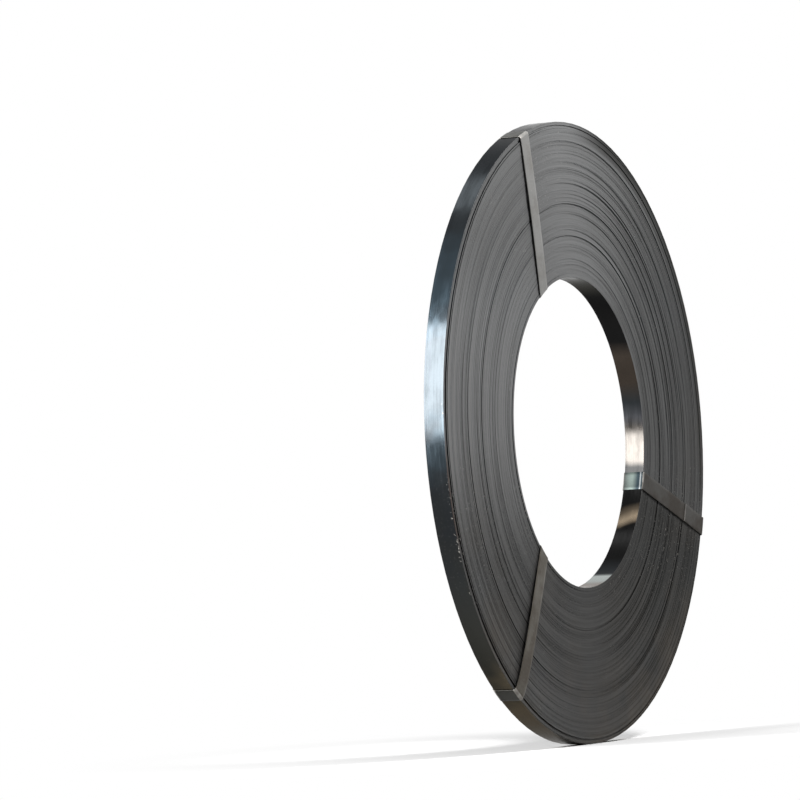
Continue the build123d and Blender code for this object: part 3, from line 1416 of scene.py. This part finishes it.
@dataclass(frozen=True)
class StudioLight:
    """One soft white lamp of the studio."""

    name: str
    place: Point
    aim: Point
    width: float
    height: float
    watts: float

    def build(self) -> None:
        """Hang the lamp and turn it towards its aim."""
        lamp = bpy.data.lights.new(self.name, "AREA")
        lamp.shape = "RECTANGLE"
        lamp.size = self.width
        lamp.size_y = self.height
        lamp.energy = self.watts
        hung = bpy.data.objects.new(self.name, lamp)
        hung.location = self.place
        look = Vector(self.aim) - Vector(self.place)
        hung.rotation_euler = look.to_track_quat("-Z", "Y").to_euler()
        hung.visible_camera = False
        bpy.context.scene.collection.objects.link(hung)


@dataclass(frozen=True)
class PhotoCamera:
    """The camera at the photograph's viewing angle."""

    place: Point
    yaw_deg: float
    pitch_deg: float
    roll_deg: float
    focal_pixels: float
    image_pixels: float = 800.0

    def build(self) -> None:
        """Make the camera from its place, its heading from +X towards +Y, its pitch and its roll."""
        camera = bpy.data.cameras.new("photo_camera")
        camera.lens = self.focal_pixels * camera.sensor_width / self.image_pixels
        camera.clip_end = 100.0
        yaw, pitch, roll = (math.radians(a) for a in (self.yaw_deg, self.pitch_deg, self.roll_deg))
        ahead = Vector((math.cos(yaw), math.sin(yaw), 0.0))
        forward = ahead * math.cos(pitch) + Vector((0.0, 0.0, math.sin(pitch)))
        level = Vector((math.sin(yaw), -math.cos(yaw), 0.0))
        right = level * math.cos(roll) + level.cross(forward) * math.sin(roll)
        up = right.cross(forward)
        turn = Matrix((right, up, -forward)).transposed().to_4x4()
        held = bpy.data.objects.new("photo_camera", camera)
        held.matrix_world = Matrix.Translation(self.place) @ turn
        bpy.context.scene.collection.objects.link(held)
        bpy.context.scene.camera = held


@dataclass(frozen=True)
class Studio:
    """White floor and surround with soft lamps."""

    camera: PhotoCamera
    lamps: tuple[StudioLight, ...]
    ambient: float = 0.22
    floor_hub: float = 0.5 * MM
    floor_radius: float = 30.0
    floor_columns: int = 64
    shadow_radius: float = 0.15
    white_radius: float = 0.55
    floor_white: float = 0.9
    floor_bounce: float = 0.3

    def build(self) -> None:
        """Set up the surround, the floor, the lamps and the camera."""
        bpy.context.scene.view_settings.view_transform = "Standard"
        self._surround()
        self._floor()
        for lamp in self.lamps:
            lamp.build()
        self.camera.build()

    @staticmethod
    def _seen_white(sheet: NodeSheet) -> Value:
        """Give 1 for a ray that sees the surround as plain white, and 0 for others."""
        rays = sheet.add("ShaderNodeLightPath").outputs
        return sheet.most(*(rays[ray.value] for ray in Ray))

    def _surround(self) -> None:
        """Make the surround white to the eye and in reflections, and dim as a light."""
        world = bpy.data.worlds.new("studio")
        world.use_nodes = True
        sheet = NodeSheet(world.node_tree)
        strength = sheet.fade(self._seen_white(sheet), Fade(0.0, 1.0, self.ambient, 1.0))
        light = sheet.add("ShaderNodeBackground", {"Strength": strength, "Color": (1.0, 1.0, 1.0, 1.0)})
        sheet.add("ShaderNodeOutputWorld", {"Surface": light.outputs[0]})
        bpy.context.scene.world = world

    def _floor(self) -> None:
        """Lay the floor, a disc that takes the shadow near the coil and is plain white farther off.

        Its points lie on circles: the radius times the cosine and sine of the angle.
        """
        marks = np.linspace(0.0, 1.0, self.floor_columns + 1)
        angle = 2 * math.pi * marks[None, :-1]
        radius = np.array([self.floor_hub, self.white_radius, self.floor_radius])[:, None]
        x, y = radius * np.cos(angle), radius * np.sin(angle)
        grid = SurfaceGrid(
            points=np.stack([x, y, np.zeros_like(x)], axis=-1),
            row_marks=np.linspace(0.0, 1.0, len(radius)),
            column_marks=marks,
            close_rows=False,
        )
        mesh = grid.mesh("studio_floor")
        mesh.materials.append(self._floor_material())
        floor = bpy.data.objects.new("studio_floor", mesh)
        bpy.context.scene.collection.objects.link(floor)

    def _floor_material(self) -> bpy.types.Material:
        """Make the floor's white, matt near the coil and glowing farther off.

        Returns:
            The material.
        """
        material = bpy.data.materials.new("floor_white")
        material.use_nodes = True
        sheet = NodeSheet(material.node_tree)
        place = sheet.add("ShaderNodeTexCoord").outputs["Object"]
        length = sheet.add("ShaderNodeVectorMath", {0: place}, operation="LENGTH")
        far = sheet.fade(length.outputs["Value"], Fade(self.shadow_radius, self.white_radius))
        seen = self._seen_white(sheet)
        dim, white = ((level,) * 3 for level in (self.floor_bounce, self.floor_white))
        matt = sheet.add("ShaderNodeBsdfDiffuse", {"Color": sheet.coats(dim, (seen, white))})
        glow = sheet.add("ShaderNodeEmission")
        parts = (sheet.times(far, seen), matt.outputs[0], glow.outputs[0])
        mixed = sheet.add("ShaderNodeMixShader", dict(enumerate(parts)))
        sheet.add("ShaderNodeOutputMaterial", {"Surface": mixed.outputs[0]})
        return material


def tie_bands(coil: CoilSizes) -> list[TieBand]:
    """List the three ties.

    Args:
        coil: sizes of the winding.

    Returns:
        The ties, each with its place and finish.
    """
    sizes = TieSizes()
    clean = TieFinish(
        "tie_grey",
        grey=(0.164, 0.163, 0.158),
        brown=(0.138, 0.134, 0.126),
        brown_share=0.25,
        wear=0.15,
        specular=0.18,
    )
    brown = TieFinish(
        "tie_brown",
        grey=(0.029, 0.027, 0.023),
        brown=(0.026, 0.021, 0.016),
        brown_share=0.55,
        wear=0.03,
        specular=0.09,
    )
    umber = TieFinish(
        "tie_umber",
        grey=(0.077, 0.069, 0.055),
        brown=(0.054, 0.045, 0.034),
        brown_share=0.50,
        wear=0.07,
        specular=0.15,
    )
    top = TieBand(
        "tie_top",
        coil,
        sizes,
        clean,
        heading_deg=TOP_TIE_DEG,
        offset=43.5 * MM,
        front_play=1.2 * MM,
        bow=0.5 * MM,
    )
    right = TieBand(
        "tie_right",
        coil,
        sizes,
        brown,
        heading_deg=RIGHT_TIE_DEG,
        offset=0.0,
        front_play=0.25 * MM,
        bow=0.4 * MM,
        lap=48.0 * MM,
    )
    lower = TieBand(
        "tie_lower",
        coil,
        sizes,
        umber,
        heading_deg=LOWER_TIE_DEG,
        offset=-29.7 * MM,
        front_play=1.2 * MM,
        bow=2.185 * MM,
        bow_peak=0.70,
    )
    return [top, right, lower]


def photo_studio() -> Studio:
    """Describe the studio.

    It has a near key lamp, a tall soft box behind on the left and a small one above.

    Returns:
        The studio with its camera and lamps.
    """
    camera = PhotoCamera(
        place=(-4.8270, -2.2015, 0.1911),
        yaw_deg=26.287,
        pitch_deg=1.6076,
        roll_deg=-2.8873,
        focal_pixels=5500.0,
    )
    # Name, place, aim, width, height and watts
    lamps = (
        StudioLight("key", (-0.08, -0.62, 1.05), (0.0, 0.0, 0.38), 0.30, 0.30, 13.0),
        StudioLight("soft_box", (-1.90, 0.95, 1.00), (-0.1, 0.0, 0.35), 0.60, 1.35, 76.0),
        StudioLight("top_box", (0.06, 0.62, 1.76), (-0.19, 0.0, 0.53), 0.40, 0.25, 1.0),
    )
    return Studio(camera, lamps)


def main() -> None:
    """Build the winding, the ties and the studio in order, and report each piece."""
    logging.basicConfig(level=logging.INFO, format="%(name)s: %(message)s")
    effects = SharedEffects()
    coil = CoilSizes.from_frame()
    for part in (WoundStrip(coil), *tie_bands(coil)):
        piece = part.build(effects)
        LOG.info("%s is built with %d faces", piece.name, len(piece.data.polygons))
    photo_studio().build()


if __name__ == "__main__":
    main()
